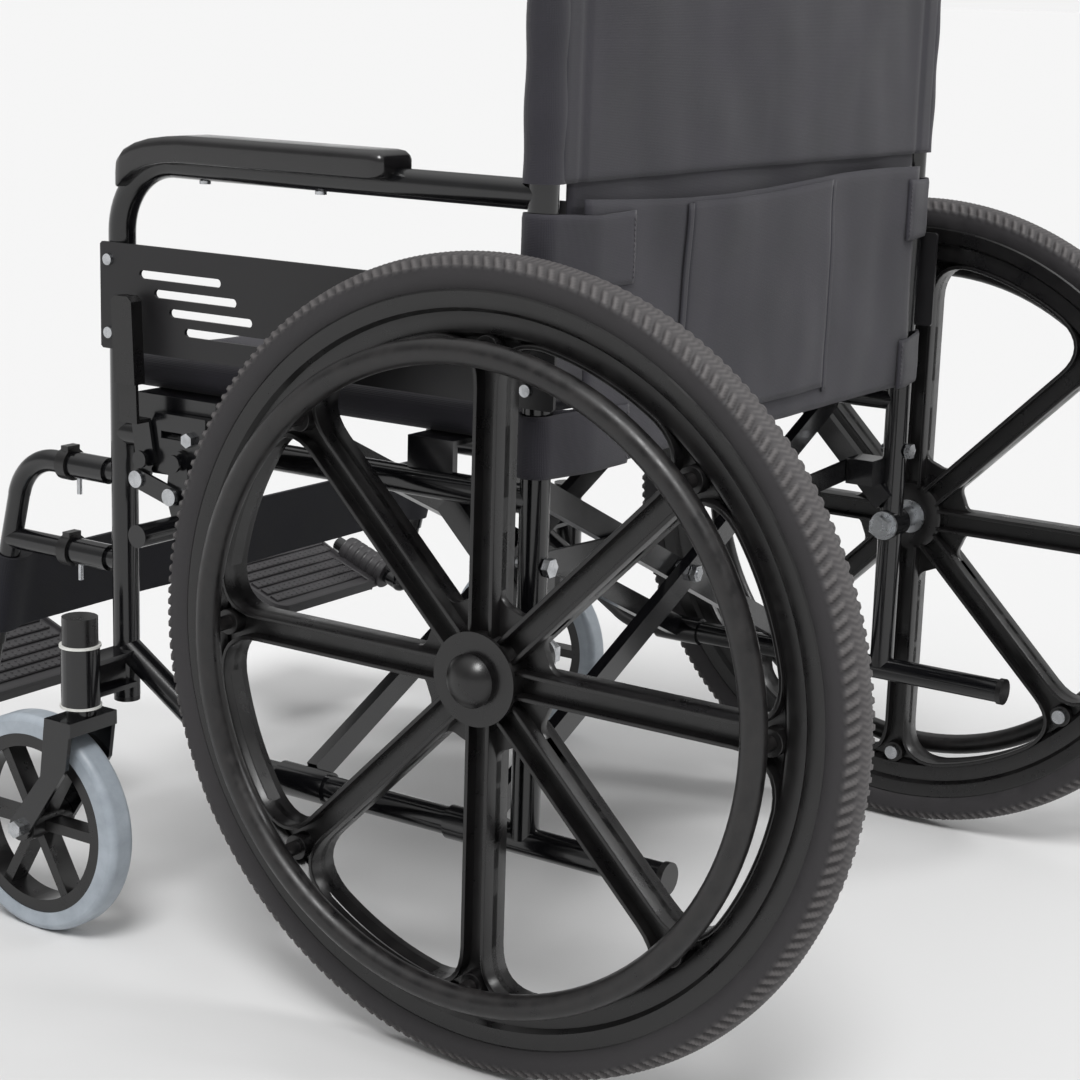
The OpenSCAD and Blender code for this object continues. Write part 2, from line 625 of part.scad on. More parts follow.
module wheel_hardware() turn_x(wx) {
    for (z = [-12, 8]) translate([0, 0, z]) difference() {
        cylinder(r = 16, h = 9 - lay_e);
        translate([0, 0, -1]) cylinder(r = axle_d / 2 + fit, h = 12);
    }
    for (i = [0 : spokes - 1]) rotate([0, 0, 360 / spokes * i]) translate([hand_r, 0, 0]) {
        translate([0, 0, -rim_w / 2 - 2]) cylinder(r = 6.5, h = 4 - lay_e);
        translate([0, 0, -rim_w / 2 - 1]) cylinder(r = 3, h = rim_w + 16);
    }
}
module left_wheel_hardware() placed() color("silver") wheel_hardware();
module right_wheel_hardware() placed() other_side() color("silver") wheel_hardware();

module hub_cap() turn_x(hub_out + lay_e) difference() {
    union() {
        cylinder(r = 35, h = 3);
        cylinder(r = 20, h = 8);
        translate([0, 0, 8]) rotate_extrude() intersection() {
            translate([0, -11]) circle(r = 22.83);
            square([20, 20]);
        }
    }
    translate([0, 0, -1]) cylinder(r = 12, h = 10);
}
module left_hub_cap() placed() color("black") hub_cap();
module right_hub_cap() placed() other_side() color("black") hub_cap();

// ---------- casters, trailing towards the front ----------
fork_in = cast_w / 2 + 10;
module caster_fork() translate([cx, cy, 0]) {
    translate([0, 0, barrel_z0 - 9]) cylinder(r = 12, h = 7 - lay_e);
    translate([0, 0, barrel_z0 - 9]) cylinder(r = 6, h = 72);
    translate([0, 0, barrel_z1 + 2 + 2 * lay_e]) cylinder(r = 10, h = 7, $fn = 6);
    translate([-fork_in - 4, -15, barrel_z0 - 21]) cube([2 * fork_in + 8, 29, 12]);
    difference() {
        for (x = [-fork_in - 4, fork_in]) plate_x(x, 4) union() {
            polygon([[14, barrel_z0 - 9], [-15, barrel_z0 - 9], [-21, barrel_z0 - 60],
                [-trail - 8, cast_r + 7], [-trail + 11, cast_r - 2], [8, barrel_z0 - 50]]);
            translate([-trail, cast_r]) circle(r = 11);
        }
        rod_x(-fork_in - 5, fork_in + 5, -trail, cast_r, 4 + fit);
    }
}
module left_caster_fork() placed() color("black") caster_fork();
module right_caster_fork() placed() other_side() color("black") caster_fork();

cast_seat = cast_r - 16.5;
module turn_c() { translate([cx, cy - trail, cast_r]) rotate([0, 90, 0]) children(); }
module caster_tyre() turn_c() rotate_extrude($fn = 72) difference() {
    union() {
        translate([cast_seat, -cast_w / 2]) square([6, cast_w]);
        translate([cast_seat + 5, -cast_w / 2]) square([6, cast_w]);
        translate([cast_seat + 10, -cast_w / 2 + 6]) square([6.5, cast_w - 12]);
        translate([cast_seat + 10, cast_w / 2 - 6.5]) circle(r = 6.5);
        translate([cast_seat + 10, -cast_w / 2 + 6.5]) circle(r = 6.5);
    }
    translate([cast_seat - 20, -cast_w]) square([20, 2 * cast_w]);
}
module left_caster_tyre() placed() color("lightsteelblue") caster_tyre();
module right_caster_tyre() placed() other_side() color("lightsteelblue") caster_tyre();

module caster_wheel() turn_c() difference() {
    union() {
        rotate_extrude($fn = 72) translate([cast_seat - 11, -cast_w / 2 + 1]) square([11 - fit, cast_w - 2]);
        translate([0, 0, -fork_in + 0.5]) cylinder(r = 13, h = 2 * fork_in - 1);
        for (i = [0 : 5]) rotate([0, 0, 60 * i + 30])
            translate([8, -4.5, -cast_w / 2 + 4]) cube([cast_seat - 15, 9, cast_w - 8]);
    }
    translate([0, 0, -fork_in]) cylinder(r = 4 + fit, h = 2 * fork_in);
}
module left_caster_wheel() placed() color("dimgray") caster_wheel();
module right_caster_wheel() placed() other_side() color("dimgray") caster_wheel();

module caster_axle() turn_c() {
    translate([0, 0, -fork_in - 9]) cylinder(r = 4, h = 2 * fork_in + 18);
    for (z = [-fork_in - 10, fork_in + 4 + lay_e]) translate([0, 0, z]) cylinder(r = 7.5, h = 6 - lay_e, $fn = 6);
}
module left_caster_axle() placed() color("silver") caster_axle();
module right_caster_axle() placed() other_side() color("silver") caster_axle();

module caster_washers() translate([cx, cy, 0]) {
    for (z = [barrel_z0 - 2 + lay_e / 2, barrel_z1 + lay_e]) translate([0, 0, z]) difference() {
        cylinder(r = barrel_r + 1.2, h = 2 - 2 * lay_e);
        translate([0, 0, -1]) cylinder(r = 6 + fit, h = 4);
    }
}
module left_caster_washers() placed() color("white") caster_washers();
module right_caster_washers() placed() other_side() color("white") caster_washers();

// ---------- legrests ----------
module legrest() {
    difference() {
        union() {
            rod_y(fx, bend_y, front_y - 24, sock_top, leg_r);
            bend(fx, bend_y, sock_top - bend_leg, bend_leg, leg_r, 90, 90 + knee_a);
            translate([fx, knee_y, knee_z]) rotate([180 - lean, 0, 0]) translate([0, 0, -lap])
                cylinder(r = leg_r - step, h = leg_len + lap);
            rod_y(fx, knee_y - (knee_z - sock_low) * tan(lean), front_y - 24, sock_low, leg_r);
        }
        translate([fx, knee_y, knee_z]) rotate([180 - lean, 0, 0]) translate([0, 0, 54])
            cylinder(r = foot_d / 2 + fit, h = leg_len);
        for (z = [sock_top, sock_low])
            translate([fx, sock_y + 5, z - leg_r - 20]) cylinder(r = 2.3, h = 20);
    }
}
module left_legrest() placed() color("black") legrest();
module right_legrest() placed() other_side() color("black") legrest();

module legrest_locks() {
    for (z = [sock_top, sock_low]) difference() {
        union() {
            rod_y(fx, sock_y - 11, sock_y - gap, z, tr + 2.5);
            translate([fx - 7, sock_y - 9, z + tr]) cube([14, 8, 5]);
        }
        rod_y(fx, sock_y - 12, sock_y + 1, z, leg_r + fit);
    }
}
module left_legrest_locks() placed() color("dimgray") legrest_locks();
module right_legrest_locks() placed() other_side() color("dimgray") legrest_locks();

module foot_tube() {
    translate([fx, knee_y, knee_z]) rotate([180 - lean, 0, 0]) translate([0, 0, 60])
        cylinder(r = foot_d / 2, h = foot_len - 60);
    translate([fx, elbow_y, elbow_z]) sphere(r = hinge_r + 0.5);
    translate([fx, elbow_y, elbow_z]) rotate([90 - pitch, 0, 0]) cylinder(r = hinge_r, h = hinge_l);
}
module left_foot_tube() placed() color("black") foot_tube();
module right_foot_tube() placed() other_side() color("black") foot_tube();

// footplate: local +Z runs forward along the hinge rod, local -X is inboard
module footplate() translate([fx, elbow_y, elbow_z]) rotate([90 - pitch, 0, 0]) difference() {
    union() {
        translate([0, 0, 18]) cylinder(r = 16, h = hub_l);
        translate([-plate_w, -16, 20]) cube([plate_w, 13, plate_l]);
        translate([-plate_w, -16, 18]) cube([plate_w - 12, 16, 6]);
    }
    translate([0, 0, 10]) cylinder(r = hinge_r + fit, h = hinge_l - 9);
    translate([-13, -30, 18 + hub_l + 0.01]) cube([40, 60, plate_l]);
}
module left_footplate() placed() color("gray") footplate();
module right_footplate() placed() other_side() color("gray") footplate();

module calf_strap() placed() color("midnightblue") {
    for (m = [0, 1]) mirror([m, 0, 0])
        translate([fx, knee_y, knee_z]) rotate([180 - lean, 0, 0]) translate([0, 0, strap_at]) difference() {
            cylinder(r = leg_r + gap + strap_t, h = strap_h);
            translate([0, 0, -1]) cylinder(r = leg_r + gap, h = strap_h + 2);
        }
    translate([0, knee_y, knee_z]) rotate([180 - lean, 0, 0])
        translate([-fx + leg_r + 1.2, -leg_r - gap - strap_t + 6, strap_at])
            cube([frame_w - 2 * leg_r - 2.4, strap_t, strap_h]);
}

left_side_frame();
right_side_frame();
left_tube_caps();
right_tube_caps();
left_push_grip();
right_push_grip();
left_arm_pad();
right_arm_pad();
left_side_panel();
right_side_panel();
left_frame_fasteners();
right_frame_fasteners();
left_axle();
right_axle();
left_brake_bracket();
right_brake_bracket();
left_brake_lever();
right_brake_lever();
left_brake_link();
right_brake_link();
left_brake_arm();
right_brake_arm();
upper_back();
lower_back();
cross_brace_a();
cross_brace_b();
brace_a_fasteners();
brace_b_fasteners();
left_stay_link();
right_stay_link();
seat_sling();
left_tyre();
right_tyre();
left_mag_wheel();
right_mag_wheel();
left_hand_rim();
right_hand_rim();
left_wheel_hardware();
right_wheel_hardware();
left_hub_cap();
right_hub_cap();
left_caster_fork();
right_caster_fork();
left_caster_tyre();
right_caster_tyre();
left_caster_wheel();
right_caster_wheel();
left_caster_axle();
right_caster_axle();
left_caster_washers();
right_caster_washers();
left_legrest();
right_legrest();
left_legrest_locks();
right_legrest_locks();
left_foot_tube();
right_foot_tube();
left_footplate();
right_footplate();
calf_strap();
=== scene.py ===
import json
import math
import bpy
import numpy as np
from mathutils import Matrix, Vector, noise


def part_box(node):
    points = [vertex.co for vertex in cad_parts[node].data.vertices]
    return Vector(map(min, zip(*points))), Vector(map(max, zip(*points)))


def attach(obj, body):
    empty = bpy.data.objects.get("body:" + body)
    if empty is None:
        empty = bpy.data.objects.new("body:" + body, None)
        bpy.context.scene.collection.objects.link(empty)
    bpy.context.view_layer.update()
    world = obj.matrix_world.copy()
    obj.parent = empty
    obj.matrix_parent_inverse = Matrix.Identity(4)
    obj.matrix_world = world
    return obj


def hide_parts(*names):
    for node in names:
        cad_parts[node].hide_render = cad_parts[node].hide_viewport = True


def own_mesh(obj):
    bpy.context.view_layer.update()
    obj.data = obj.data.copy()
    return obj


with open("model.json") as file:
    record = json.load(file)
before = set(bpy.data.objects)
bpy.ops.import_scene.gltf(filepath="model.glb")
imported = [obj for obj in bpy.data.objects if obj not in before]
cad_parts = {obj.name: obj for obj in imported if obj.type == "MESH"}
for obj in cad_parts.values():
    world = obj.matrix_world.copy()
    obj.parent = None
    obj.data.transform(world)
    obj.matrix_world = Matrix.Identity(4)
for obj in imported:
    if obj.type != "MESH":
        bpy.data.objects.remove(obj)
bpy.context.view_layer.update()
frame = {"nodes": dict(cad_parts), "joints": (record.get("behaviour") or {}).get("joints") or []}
nodes = frame["nodes"]
print("frame loaded:", len(nodes), "nodes")

sides = {"left": 1, "right": -1}


def mid(node):
    low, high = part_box(node)
    return (low + high) / 2


# ---- camera: behind and to the left of the chair, looking slightly down ----
rearAxle = mid("left_tyre").y                       # the rear axle in the row frame
cameraSetup = {
    "place": (1.6901, rearAxle + 0.9301, 0.7817),
    "yaw": -146.32, "pitch": 13.04, "roll": 1.74,   # degrees
    "lens": 78.33, "sensor": 36.0,                  # millimetres
}


def makeCamera(setup):
    yaw, pitch, roll = (math.radians(setup[k]) for k in ("yaw", "pitch", "roll"))
    ahead = Vector((math.cos(pitch) * math.cos(yaw), math.cos(pitch) * math.sin(yaw), -math.sin(pitch)))
    flat = ahead.cross(Vector((0, 0, 1))).normalized()
    over = flat.cross(ahead)
    right = math.cos(roll) * flat + math.sin(roll) * over
    up = -math.sin(roll) * flat + math.cos(roll) * over
    data = bpy.data.cameras.new("camera")
    data.lens = setup["lens"]
    data.sensor_width = setup["sensor"]
    data.clip_end = 20000
    camera = bpy.data.objects.new("camera", data)
    camera.matrix_world = Matrix((right, up, -ahead)).transposed().to_4x4()
    camera.location = setup["place"]
    bpy.context.scene.collection.objects.link(camera)
    bpy.context.scene.camera = camera


makeCamera(cameraSetup)
bpy.context.scene.view_settings.view_transform = "Standard"


# ---- materials ----
def linear(code):
    parts = [int(code[i:i + 2], 16) / 255 for i in (1, 3, 5)]
    return tuple(((c + 0.055) / 1.055) ** 2.4 if c > 0.04045 else c / 12.92 for c in parts) + (1.0,)


def addNode(tree, kind, settings=None, inputs=None):
    node = tree.nodes.new(kind)
    for key, value in (settings or {}).items():
        setattr(node, key, value)
    for key, value in (inputs or {}).items():
        if isinstance(value, bpy.types.NodeSocket):
            tree.links.new(value, node.inputs[key])
        else:
            node.inputs[key].default_value = value
    return node


def fadeColours(tree, first, second, amount):
    mix = addNode(tree, "ShaderNodeMix", {"data_type": "RGBA"})
    mix.inputs[6].default_value = linear(first)
    mix.inputs[7].default_value = linear(second)
    tree.links.new(amount, mix.inputs[0])
    return mix.outputs[2]


def makeFinish(name, look):
    # look: colour pair, blotch size, roughness range, metallic, ior, grain size and depth in millimetres
    material = bpy.data.materials.new(name)
    material.use_nodes = True
    tree = material.node_tree
    shader = tree.nodes["Principled BSDF"]
    place = addNode(tree, "ShaderNodeTexCoord").outputs["Object"]
    blotch = addNode(tree, "ShaderNodeTexNoise", None,
                     {"Vector": place, "Scale": 1000 / look["blotch"], "Detail": 4.0, "Roughness": 0.6})
    spread = addNode(tree, "ShaderNodeMapRange", None,
                     {"Value": blotch.outputs["Fac"], "From Min": 0.35, "From Max": 0.68})
    colour = fadeColours(tree, look["colour"], look["worn"], spread.outputs[0])
    if "dust" in look:      # dusty tread, from the mesh's own height value
        height = addNode(tree, "ShaderNodeAttribute", {"attribute_name": "raised"})
        dusty = addNode(tree, "ShaderNodeMix", {"data_type": "RGBA"})
        tree.links.new(height.outputs["Fac"], dusty.inputs[0])
        tree.links.new(colour, dusty.inputs[6])
        dusty.inputs[7].default_value = linear(look["dust"])
        colour = dusty.outputs[2]
    tree.links.new(colour, shader.inputs["Base Color"])
    low, high = look["rough"]
    rough = addNode(tree, "ShaderNodeMapRange", None,
                    {"Value": blotch.outputs["Fac"], "From Min": 0.3, "From Max": 0.7,
                     "To Min": low, "To Max": high})
    tree.links.new(rough.outputs[0], shader.inputs["Roughness"])
    shader.inputs["Metallic"].default_value = look.get("metal", 0.0)
    shader.inputs["IOR"].default_value = look.get("ior", 1.5)
    shader.inputs["Coat Weight"].default_value = look.get("coat", 0.0)
    shader.inputs["Coat Roughness"].default_value = look.get("coatRough", 0.1)
    shader.inputs["Sheen Weight"].default_value = look.get("sheen", 0.0)
    shader.inputs["Sheen Roughness"].default_value = 0.5
    if "thread" in look:    # warp and weft as two crossed sets of ridges
        ridges = []
        for axis in ("X", "Z"):
            ridges.append(addNode(tree, "ShaderNodeTexWave", {"bands_direction": axis}, {
                "Vector": place, "Scale": 1000 / look["thread"] / 3.2, "Distortion": 0.3,
                "Detail": 1.0, "Detail Scale": 2.0}).outputs["Fac"])
        height = addNode(tree, "ShaderNodeMath", {"operation": "MULTIPLY"},
                         {0: ridges[0], 1: ridges[1]}).outputs[0]
    else:
        height = addNode(tree, "ShaderNodeTexNoise", None,
                         {"Vector": place, "Scale": 1000 / look["grain"], "Detail": 3.0}).outputs["Fac"]
    bump = addNode(tree, "ShaderNodeBump", None,
                   {"Height": height, "Distance": look["depth"] / 1000, "Strength": 0.6})
    tree.links.new(bump.outputs["Normal"], shader.inputs["Normal"])
    return material


finishes = {
    # steel tube under gloss powder coat: deep black with hard streaks of light and faint orange peel
    "framePaint": {"colour": "#09090b", "worn": "#0e0e10", "blotch": 60, "rough": (0.14, 0.24),
                   "coat": 0.3, "grain": 2.5, "depth": 0.02},
    # glass-filled nylon, injection moulded: satin black with soft flow marks
    "mouldedNylon": {"colour": "#0d0c0d", "worn": "#141313", "blotch": 22, "rough": (0.24, 0.38),
                     "ior": 1.53, "grain": 1.2, "depth": 0.05},
    # solid rubber tyre: matt dark grey, paler where the tread is scuffed and dusty
    "tyreRubber": {"colour": "#242224", "worn": "#2c2a2c", "blotch": 18, "rough": (0.55, 0.78),
                   "ior": 1.52, "dust": "#565353", "grain": 0.9, "depth": 0.06},
    # steel tube with a satin plastic coat, rubbed by hands
    "rimCoating": {"colour": "#111011", "worn": "#201e1e", "blotch": 12, "rough": (0.26, 0.50),
                   "grain": 1.6, "depth": 0.05},
    # moulded polyurethane foam skin: smooth, softly shining
    "padSkin": {"colour": "#141314", "worn": "#1a191a", "blotch": 30, "rough": (0.20, 0.28),
                "ior": 1.49, "coat": 0.3, "grain": 0.8, "depth": 0.02},
    # extruded and moulded polypropylene sheet: fine drawn grain, satin
    "panelPlastic": {"colour": "#121113", "worn": "#19181a", "blotch": 40, "rough": (0.38, 0.5),
                     "ior": 1.49, "grain": 0.8, "depth": 0.04},
    # woven nylon with a coated back: charcoal, each thread catching a little light;
    # real threads are 0.4 mm apart, drawn at 1.1 mm so that they show
    "wovenNylon": {"colour": "#212027", "worn": "#29272f", "blotch": 55, "rough": (0.66, 0.8),
                   "ior": 1.45, "sheen": 0.12, "thread": 1.1, "depth": 0.25},
    # dense nylon webbing, navy almost black
    "strapWebbing": {"colour": "#0f0f16", "worn": "#15151d", "blotch": 40, "rough": (0.7, 0.8),
                     "ior": 1.4, "sheen": 0.08, "thread": 1.3, "depth": 0.3},
    # polyester sewing thread
    "sewingThread": {"colour": "#4a464c", "worn": "#524e54", "blotch": 5, "rough": (0.5, 0.6),
                     "grain": 0.6, "depth": 0.03},
    # polyurethane caster tread: pale grey blue, smooth
    "casterPolyurethane": {"colour": "#a3abb3", "worn": "#8f979f", "blotch": 30, "rough": (0.34, 0.46),
                           "ior": 1.5, "grain": 1.5, "depth": 0.03},
    # moulded polypropylene footplate: dark grey with a dry sparkle
    "footplatePlastic": {"colour": "#2b2a2c", "worn": "#343234", "blotch": 25, "rough": (0.36, 0.52),
                         "ior": 1.49, "grain": 0.7, "depth": 0.06},
    # zinc-plated steel: bright, faintly cloudy
    "zincPlate": {"colour": "#c3c5c8", "worn": "#a9abad", "blotch": 6, "rough": (0.22, 0.4),
                  "metal": 1.0, "grain": 0.5, "depth": 0.02},
    # natural nylon washer
    "whiteNylon": {"colour": "#dcdcd8", "worn": "#cfcfca", "blotch": 8, "rough": (0.4, 0.5),
                   "grain": 0.6, "depth": 0.01},
}
made = {name: makeFinish(name, look) for name, look in finishes.items()}
print("finishes made:", len(made))

nodeFinish = {
    "framePaint": ["side_frame", "stay_link", "brake_bracket", "brake_lever", "brake_link", "brake_arm",
                   "caster_fork", "legrest", "foot_tube", "cross_brace_a", "cross_brace_b"],
    "mouldedNylon": ["tube_caps", "mag_wheel", "hub_cap", "caster_wheel", "legrest_locks"],
    "rimCoating": ["hand_rim"],
    "tyreRubber": ["tyre"],
    "padSkin": ["arm_pad", "push_grip"],
    "panelPlastic": ["side_panel"],
    "wovenNylon": ["upper_back", "lower_back", "seat_sling"],
    "strapWebbing": ["calf_strap"],
    "casterPolyurethane": ["caster_tyre"],
    "footplatePlastic": ["footplate"],
    "zincPlate": ["frame_fasteners", "axle", "wheel_hardware", "caster_axle",
                  "brace_a_fasteners", "brace_b_fasteners"],
    "whiteNylon": ["caster_washers"],
}
finishOf = {part: finish for finish, parts in nodeFinish.items() for part in parts}
for name, obj in nodes.items():
    short = name.split("_", 1)[1] if name.split("_")[0] in sides else name
    obj.data.materials.clear()
    obj.data.materials.append(made[finishOf[short]])


# rivet and bolt heads of painted parts are plated: faces beyond a height across the part
def paintFaces(node, finish, chosen):
    obj = nodes[node]
    obj.data.materials.append(made[finish])
    slotIndex = len(obj.data.materials) - 1
    for face in obj.data.polygons:
        if chosen(face.center, face.normal):
            face.material_index = slotIndex


for side, sign in sides.items():
    for part, reach in (("brake_lever", 0.3252), ("brake_link", 0.3252), ("brake_arm", 0.3252)):
        paintFaces(side + "_" + part, "zincPlate",
                   lambda c, n: sign * c.x > reach and sign * c.x < 0.332 and c.z < 0.425)
    paintFaces(side + "_brake_lever", "mouldedNylon", lambda c, n: c.z > 0.440)


# ---- mesh helpers ----
def addPiece(name, points, faces, finish, body, smooth=True):
    data = bpy.data.meshes.new(name)
    data.from_pydata([tuple(p) for p in points], [], [tuple(f) for f in faces])
    data.validate()
    data.materials.append(made[finish])
    if smooth:
        data.shade_smooth()
    obj = bpy.data.objects.new(name, data)
    bpy.context.scene.collection.objects.link(obj)
    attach(obj, body)
    return obj


def gridFaces(rows, columns, wrapRows=False, wrapColumns=True, start=0):
    faces = []
    for i in range(rows if wrapRows else rows - 1):
        for j in range(columns if wrapColumns else columns - 1):
            a, b = i * columns, ((i + 1) % rows) * columns
            k = (j + 1) % columns
            faces.append((start + a + j, start + a + k, start + b + k, start + b + j))
    return faces


def loft(rings, closeEnds=True):
    # rings of equal length joined in order, ends closed with flat caps
    points = [p for ring in rings for p in ring]
    count = len(rings[0])
    faces = gridFaces(len(rings), count)
    if closeEnds:
        faces.append(tuple(reversed(range(count))))
        faces.append(tuple(range((len(rings) - 1) * count, len(rings) * count)))
    return points, faces


def joinMeshes(parts):
    points, faces = [], []
    for somePoints, someFaces in parts:
        base = len(points)
        points += list(somePoints)
        faces += [tuple(i + base for i in f) for f in someFaces]
    return points, faces


def slab(loop, low, high, bevel, place):
    # flat outline thickened from low to high with a small chamfer; place turns (u, v, w) into a point
    inner = shrinkLoop(loop, bevel)
    rings = [[place(u, v, low) for u, v in inner], [place(u, v, low + bevel) for u, v in loop],
             [place(u, v, high - bevel) for u, v in loop], [place(u, v, high) for u, v in inner]]
    return loft(rings)


def shrinkLoop(loop, by):
    shrunk = []
    count = len(loop)
    pairs = zip(loop, loop[1:] + loop[:1])
    sign = 1 if sum(a[0] * b[1] - b[0] * a[1] for a, b in pairs) > 0 else -1
    for i in range(count):
        ax, ay = loop[i - 1]
        bx, by2 = loop[(i + 1) % count]
        dx, dy = bx - ax, by2 - ay
        length = math.hypot(dx, dy) or 1
        shrunk.append((loop[i][0] - sign * dy / length * by, loop[i][1] + sign * dx / length * by))
    return shrunk


def sharpen(obj, degrees=32):
    obj.data.set_sharp_from_angle(angle=math.radians(degrees))


# ---- rear tyres: solid rubber with block tread ----
tyreShape = {
    "section": 0.0175,      # tube radius
    "blocks": 208,          # knobs round each shoulder
    "perBlock": 8, "round": 52,
    "knob": 0.0024, "crown": 0.0006,
}


def treadHeight(turn, phi):
    # turn counts blocks, phi is the angle from the crown in degrees; returns 0..1 knob and crown heights
    side = abs(phi)
    band = max(0.0, 1 - abs(side - 52) / 20)
    lean = 0.35 * (side - 52) / 20
    tooth = max(0.0, math.sin(2 * math.pi * (turn + lean)) + 0.25)
    knob = min(1.0, band * 3) * min(1.0, tooth * 3)
    middle = max(0.0, 1 - side / 36)
    wave = 0.5 + 0.5 * math.sin(2 * math.pi * (turn * 2 + 0.25 * math.sin(phi * 0.17)))
    return knob, min(1.0, middle * 2) * wave


def makeTyre(side, shape):
    centre = mid(side + "_tyre")
    low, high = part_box(side + "_tyre")
    reach = (high.z - low.z) / 2 - shape["section"]
    rings = shape["blocks"] * shape["perBlock"]
    points, raised = [], []
    for i in range(rings):
        turn = i / shape["perBlock"]
        angle = 2 * math.pi * i / rings
        for j in range(shape["round"]):
            phi = 360 * j / shape["round"]
            phi = phi - 360 if phi > 180 else phi
            knob, crown = treadHeight(turn + (0.5 if phi < 0 else 0), phi)
            step = shape["knob"] * (knob - 0.9 * (abs(phi) < 66)) + shape["crown"] * crown
            r = shape["section"] + step
            out = reach + r * math.cos(math.radians(phi))
            points.append((centre.x + r * math.sin(math.radians(phi)),
                           centre.y + out * math.cos(angle), centre.z + out * math.sin(angle)))
            raised.append(min(1.0, 0.75 * max(knob, crown * 0.8) + (0.30 if abs(phi) < 66 else 0)))
    faces = gridFaces(rings, shape["round"], wrapRows=True)
    tyre = addPiece(side + "_tyre_tread", points, faces, "tyreRubber", side + "_wheel")
    field = tyre.data.attributes.new("raised", "FLOAT", "POINT")
    field.data.foreach_set("value", np.array(raised, np.float32))
    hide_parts(side + "_tyre")


for side in sides:
    makeTyre(side, tyreShape)
print("tyres made")

# ---- rear wheels: moulded eight-spoke wheel with a thin web and raised lips ----
wheelShape = {
    "spokes": 8,
    "halfSpoke": 0.0105,    # half the width of a spoke
    "lip": 0.0034,          # thickness of the raised lips
    "web": 0.0035,          # half thickness of the web
    "depth": (-0.0132, 0.0138),     # lips from the inboard to the outboard face
    "hubGusset": 0.056, "outer": 0.2445,
    "innerRound": 0.009, "outerRound": 0.036,
    "hubRadius": 0.030, "lipFrom": 0.029,           # the lips start inside the hub
    "boss": 0.0100, "bossAt": 0.237,
}


def windowEdge(half, inner, outer, innerRound, outerRound, toHub=None):
    # half of a window's edge in its own sector: from the hub side along a spoke and out to the rim's middle
    startAngle, endAngle = math.asin(half / inner), math.asin(half / outer)
    straightIn, straightOut = math.sqrt(inner ** 2 - half ** 2), math.sqrt(outer ** 2 - half ** 2)
    centreAngle = math.pi / wheelShape["spokes"]
    edge = []
    if toHub is None:
        turnEnd = startAngle + innerRound / inner
        for t in np.linspace(centreAngle, turnEnd, 5):
            edge.append((inner * math.cos(t), inner * math.sin(t)))
        corner, last = (straightIn, half), (straightIn + innerRound, half)
        edge += curveBetween(edge[-1], corner, last, 6)
    else:
        edge.append((toHub, half))
    for t in np.linspace(edge[-1][0], straightOut - outerRound, 8)[1:]:
        edge.append((t, half))
    turnEnd = endAngle + outerRound / outer
    rimPoint = (outer * math.cos(turnEnd), outer * math.sin(turnEnd))
    edge += curveBetween(edge[-1], (straightOut, half), rimPoint, 9)
    for t in np.linspace(turnEnd, centreAngle, 8)[1:]:
        edge.append((outer * math.cos(t), outer * math.sin(t)))
    return edge


def curveBetween(a, corner, b, steps):
    found = []
    for t in np.linspace(0, 1, steps)[1:]:
        found.append(tuple((1 - t) ** 2 * a[k] + 2 * t * (1 - t) * corner[k] + t * t * b[k] for k in (0, 1)))
    return found


def wholeEdge(edge, dropFirst=True):
    # mirrors half an edge about the middle of its sector and joins both halves
    twice = 2 * math.pi / wheelShape["spokes"]
    c, s = math.cos(twice), math.sin(twice)
    other = [(u * c + v * s, u * s - v * c) for u, v in edge]
    return edge + list(reversed(other))[1:(-1 if dropFirst else None)]


def turned(loop, angle):
    c, s = math.cos(angle), math.sin(angle)
    return [(u * c - v * s, u * s + v * c) for u, v in loop]


def lathe(profile, place, steps=192):
    rings = []
    for i in range(steps):
        a = 2 * math.pi * i / steps
        rings.append([place(r * math.cos(a), r * math.sin(a), w) for r, w in profile])
    points = [p for ring in rings for p in ring]
    return points, gridFaces(steps, len(profile), wrapRows=True)


def filledCurve(loops, low, high, bevel, place):
    # flat outlines with holes, filled and thickened by a Blender curve, then read back as a mesh
    data = bpy.data.curves.new("outline", "CURVE")
    data.dimensions = "2D"
    data.fill_mode = "BOTH"
    data.extrude = (high - low) / 2 - bevel
    data.bevel_depth = bevel
    data.bevel_resolution = 1
    data.offset = -bevel
    for loop in loops:
        line = data.splines.new("POLY")
        line.points.add(len(loop) - 1)
        line.points.foreach_set("co", [c for u, v in loop for c in (u, v, 0.0, 1.0)])
        line.use_cyclic_u = True
    holder = bpy.data.objects.new("outline", data)
    bpy.context.scene.collection.objects.link(holder)
    bpy.context.view_layer.update()
    mesh = bpy.data.meshes.new_from_object(holder.evaluated_get(bpy.context.evaluated_depsgraph_get()))
    shift = (high + low) / 2
    points = [place(v.co.x, v.co.y, v.co.z + shift) for v in mesh.vertices]
    faces = [tuple(f.vertices) for f in mesh.polygons]
    bpy.data.objects.remove(holder)
    bpy.data.meshes.remove(mesh)
    return points, faces


